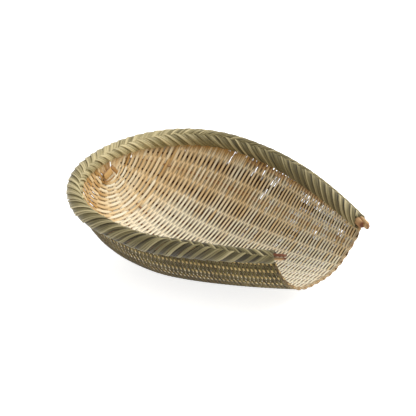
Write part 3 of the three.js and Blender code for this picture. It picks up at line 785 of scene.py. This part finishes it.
def strip(binding, begin, layer, bundle, splint):
    """One splint of a bundle, from the spine down to the weave. Layer is 1 outside and -1 inside."""
    steps = np.linspace(0, 1, STRIP_STATIONS)
    share = np.clip((abs(begin) / RIM_LENGTH - SPINE_TURN_START) / (1 - SPINE_TURN_START), 0, 1)
    _, up, out = rim_frame(np.clip(begin, -RIM_LENGTH, RIM_LENGTH))
    spine = math.atan2(out[2], up[2]) + mix(SPINE_TURN_BACK, SPINE_TURN_ARM, share)
    if begin < 0:
        left_end = np.clip((share - SPINE_LEFT_END_START) / (1 - SPINE_LEFT_END_START), 0, 1)
        spine += SPINE_TURN_LEFT_END * left_end
    slant = np.interp(begin, (-RIM_LENGTH, RIM_LENGTH), (SLANT_LEFT, SLANT_RIGHT))
    bottom = layer * (math.pi - BOTTOM_OPENING)
    angle = mix(spine - layer * OVER_SPINE, bottom, steps)
    turned = (angle - spine) * layer
    travel = begin + slant * RIM_RADIUS * turned
    inside = (travel >= -RIM_LENGTH) & (travel <= RIM_LENGTH + BINDING_PAST_END)
    if inside.sum() < STRIP_LEAST_STATIONS:
        return
    angle, turned, travel, steps = angle[inside], turned[inside], travel[inside], steps[inside]
    centre, up, out = rim_frame(travel)
    sunk = STRIP_TUCK * (splint + 0.5) / SPLINTS_IN_BUNDLE
    under = STRIP_DIP[layer]
    dip = STRIP_TUCK * under * np.clip((STRIP_DIP_START * under - turned) / STRIP_DIP_TURN, 0, 1)
    tuck = STRIP_END_TUCK * np.clip((steps - STRIP_END_START) / (1 - STRIP_END_START), 0, 1)
    droop = np.interp(travel / RIM_LENGTH, *DROOP[layer]) * ease(turned, *DROOP_TURNS)
    radius = rim_radius(travel) - SPLINT_THICKNESS / 2 - sunk - dip - tuck
    normal = up * np.cos(angle)[:, None] + out * np.sin(angle)[:, None]
    centres = centre + normal * radius[:, None] - up * droop[:, None]
    along = unit(np.gradient(centres, axis=0))
    across = unit(np.cross(along, normal)) * layer
    width = bundle_pitch / SPLINTS_IN_BUNDLE / math.hypot(1, slant) * STRIP_OVERLAP
    raised = unit(normal - across * STRIP_LEAN / width)
    round_rim = begin / RIM_LENGTH
    tone = np.interp(round_rim, *STRIP_TONE_AND_PAINTED_LIGHT) + chance.normal(0, STRIP_TONE_CHANCE)
    tone = np.clip(tone + STRIP_SHADING_IN_BUNDLE[splint] * np.interp(round_rim, *STRIP_SHADING_CONTRAST), 0, 1)
    taper = np.minimum(STRIP_END_WIDTH + STRIP_SWELL * np.sin(np.pi * steps), 1)
    grain_start = bundle * BUNDLE_GRAIN_STEP + splint * SPLINT_GRAIN_STEP + layer * LAYER_GRAIN_STEP
    binding.sweep(centres, across, raised, width * taper, SPLINT_THICKNESS, FLAT_SECTION, tone,
                  grain_start, edge_shading=np.interp(round_rim, *STRIP_EDGE_SHADING))


binding = SplintMesh()
for bundle in range(-BUNDLES_BEFORE_END, STRIP_BUNDLES + 1):
    for splint in range(SPLINTS_IN_BUNDLE):
        for layer in (-1, 1):
            half_bundle = 0.5 if layer > 0 else 0
            begin = -RIM_LENGTH + (bundle + half_bundle + splint / SPLINTS_IN_BUNDLE) * bundle_pitch
            strip(binding, begin + chance.normal(0, STRIP_PLACE_CHANCE), layer, bundle, splint)
binding.build("herringbone_binding", strip_material, "rim_strip", "rim_binding")

# Lip
# Two split strands are twined about each other along the front edge, one over and one under each stake.
# They part a little at the right, where the last wefts climb to the arm.
LIP_PLACE = 0.9905
LIP_TIP = 0.82
LIP_TWINE_RADIUS = 0.0012
LIP_TWINE_SPREAD = ((-1, 0.4, 0.7, 1), (0.0007, 0.0008, 0.0026, 0.001))
LIP_STRAND_WIDTH = 0.0027
LIP_STRAND_THICKNESS = 0.0017
LIP_STATIONS_PER_STAKE = 8
LIP_COLOURS = (srgb(92, 80, 48), srgb(216, 188, 142), srgb(248, 230, 194))
LIP_TONES = ((-1, -0.6, -0.4, 0.8, 1), (0.0, 0.1, 0.6, 0.6, 0.4))
# Painted shade on each twined strand where it passes under the other
LIP_DIP_SHADE = 0.45

lip_material = split_bamboo("twined bamboo", LIP_COLOURS, LIP_COLOURS, SHADED_EDGE,
                            edge_shade=0.5, roughness=0.55, gloss=0.15)
lip_gaps = 2 * GAPS_EACH_SIDE
for hand, label in ((1, "a"), (-1, "b")):
    turns = np.linspace(LIP_TIP, lip_gaps - LIP_TIP, (lip_gaps - 1) * LIP_STATIONS_PER_STAKE)
    lift = hand * np.cos(np.pi * turns)
    shift = hand * np.sin(np.pi * turns)
    side = turns / lip_gaps * 2 - 1
    centres, _, inward = bowl_frame(LIP_PLACE + np.interp(side, *LIP_TWINE_SPREAD) * shift, side)
    centres = centres + inward * (LIP_TWINE_RADIUS * lift)[:, None]
    along = unit(np.gradient(centres, axis=0))
    flat = unit(np.cross(along, inward))
    strand = SplintMesh()
    strand.sweep(centres, flat, unit(np.cross(along, flat)), LIP_STRAND_WIDTH, LIP_STRAND_THICKNESS,
                 ROUND_SECTION, np.interp(side, *LIP_TONES), hand, lift * LIP_DIP_SHADE)
    strand.build(f"twined_strand_{label}", lip_material, "weft_splint", f"lip_twine_{label}")

# Back tie
# A broad splint is folded over itself where the weave starts, under the middle of the rim. It crosses a
# second fold at the top, and two narrow ends close the small eye below them.
TIE_PLACE = 0.03
TIE_SPLINT = 0.0008
TIE_ARCH = 0.0008
TIE_STATIONS = 9
TIE_GRAIN_STEP = 2.3
TIE_COLOURS = (srgb(150, 104, 54), srgb(196, 150, 88), srgb(224, 184, 122))
# Each leg's start and end across and up the wall, its width, how high it lies over the weave and its tone
TIE_LEGS = (
    ((-0.0158, -0.0018), (-0.0030, 0.0032), 0.0094, 0.0024, 0.8),
    ((-0.0028, 0.0062), (0.0056, -0.0036), 0.0044, 0.0026, 0.25),
    ((-0.0165, -0.0062), (-0.0085, -0.0082), 0.0018, 0.0026, 0.3),
    ((-0.0095, -0.0082), (0.0008, -0.0052), 0.0018, 0.0024, 0.45),
)

tie_material = split_bamboo("folded bamboo", TIE_COLOURS, TIE_COLOURS, SHADED_EDGE,
                            edge_shade=0.6, roughness=0.55, gloss=0.5)
tie_low, tie_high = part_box("back_tie")
tie_middle = (np.array(tie_low) + np.array(tie_high)) / 2
_, _, tie_out = bowl_frame(TIE_PLACE, 0.0)
tie_up = unit(np.array([0, 0, 1.0]) - tie_out * tie_out[2])
tie_right = np.cross(tie_up, tie_out)
tie_right = tie_right * np.sign(tie_right[0])
tie = SplintMesh()
for number, (start, end, width, height, tone) in enumerate(TIE_LEGS):
    steps = np.linspace(0, 1, TIE_STATIONS)[:, None]
    flat_points = mix(np.array(start), np.array(end), steps)
    arch = np.sin(np.pi * steps) * TIE_ARCH + height
    centres = tie_middle + flat_points[:, :1] * tie_right + flat_points[:, 1:] * tie_up + arch * tie_out
    along = unit(np.gradient(centres, axis=0))
    up = np.broadcast_to(tie_out, along.shape)
    flat = unit(np.cross(along, up))
    tie.sweep(centres, flat, up, width, TIE_SPLINT, FLAT_SECTION, tone, number * TIE_GRAIN_STEP)
tie.build("folded_back_tie", tie_material, "stake_splint", "back_tie")

# Floor and light
# The basket stands on a plain pale table in an even white room, with broad soft sunlight from the right
# front and above. The camera sees table and room as white, also in a reflection and through glass.
WHITE = (1, 1, 1)
FLOOR_SIZE = 8
FLOOR_COLOUR = (0.9, 0.9, 0.9)
FLOOR_ROUGHNESS = 0.9
FLOOR_GLOW = 0.8
SUN_FROM = Vector((0.55, -0.75, 1.0))
SUN_STRENGTH = 2.05
SUN_SOFTNESS = math.radians(40)
ROOM_STRENGTH = 0.52


def is_seen(nodes):
    """1 for what the camera sees, straight, in a reflection or through glass, and 0 for other light."""
    rays = nodes.node("ShaderNodeLightPath", {}, {})
    seen = Value(nodes, rays.outputs["Is Camera Ray"])
    for kind in ("Is Glossy Ray", "Is Transmission Ray"):
        seen = seen + rays.outputs[kind]
    return seen.clamped()


bpy.ops.mesh.primitive_plane_add(size=FLOOR_SIZE)
floor = bpy.context.object
floor.name = "floor"
floor_finish = Finish("pale floor")
floor_finish.surface_set("Base Color", FLOOR_COLOUR)
floor_finish.surface_set("Roughness", FLOOR_ROUGHNESS)
floor_finish.surface_set("Emission Color", WHITE)
floor_finish.surface_set("Emission Strength", is_seen(floor_finish) * FLOOR_GLOW)
floor.data.materials.append(floor_finish.material)

bpy.ops.object.light_add(type="SUN", location=SUN_FROM)
sun = bpy.context.object
sun.rotation_euler = SUN_FROM.to_track_quat("Z", "Y").to_euler()
sun.data.energy = SUN_STRENGTH
sun.data.angle = SUN_SOFTNESS

world = bpy.context.scene.world or bpy.data.worlds.new("room")
bpy.context.scene.world = world
world.use_nodes = True
world.node_tree.nodes.clear()
room = Nodes(world.node_tree)
lit = room.node("ShaderNodeBackground", {}, {"Color": WHITE, "Strength": ROOM_STRENGTH})
white = room.node("ShaderNodeBackground", {}, {"Color": WHITE, "Strength": 1})
either = room.node("ShaderNodeMixShader", {}, [is_seen(room), lit.outputs[0], white.outputs[0]])
room.node("ShaderNodeOutputWorld", {}, {"Surface": either.outputs[0]})
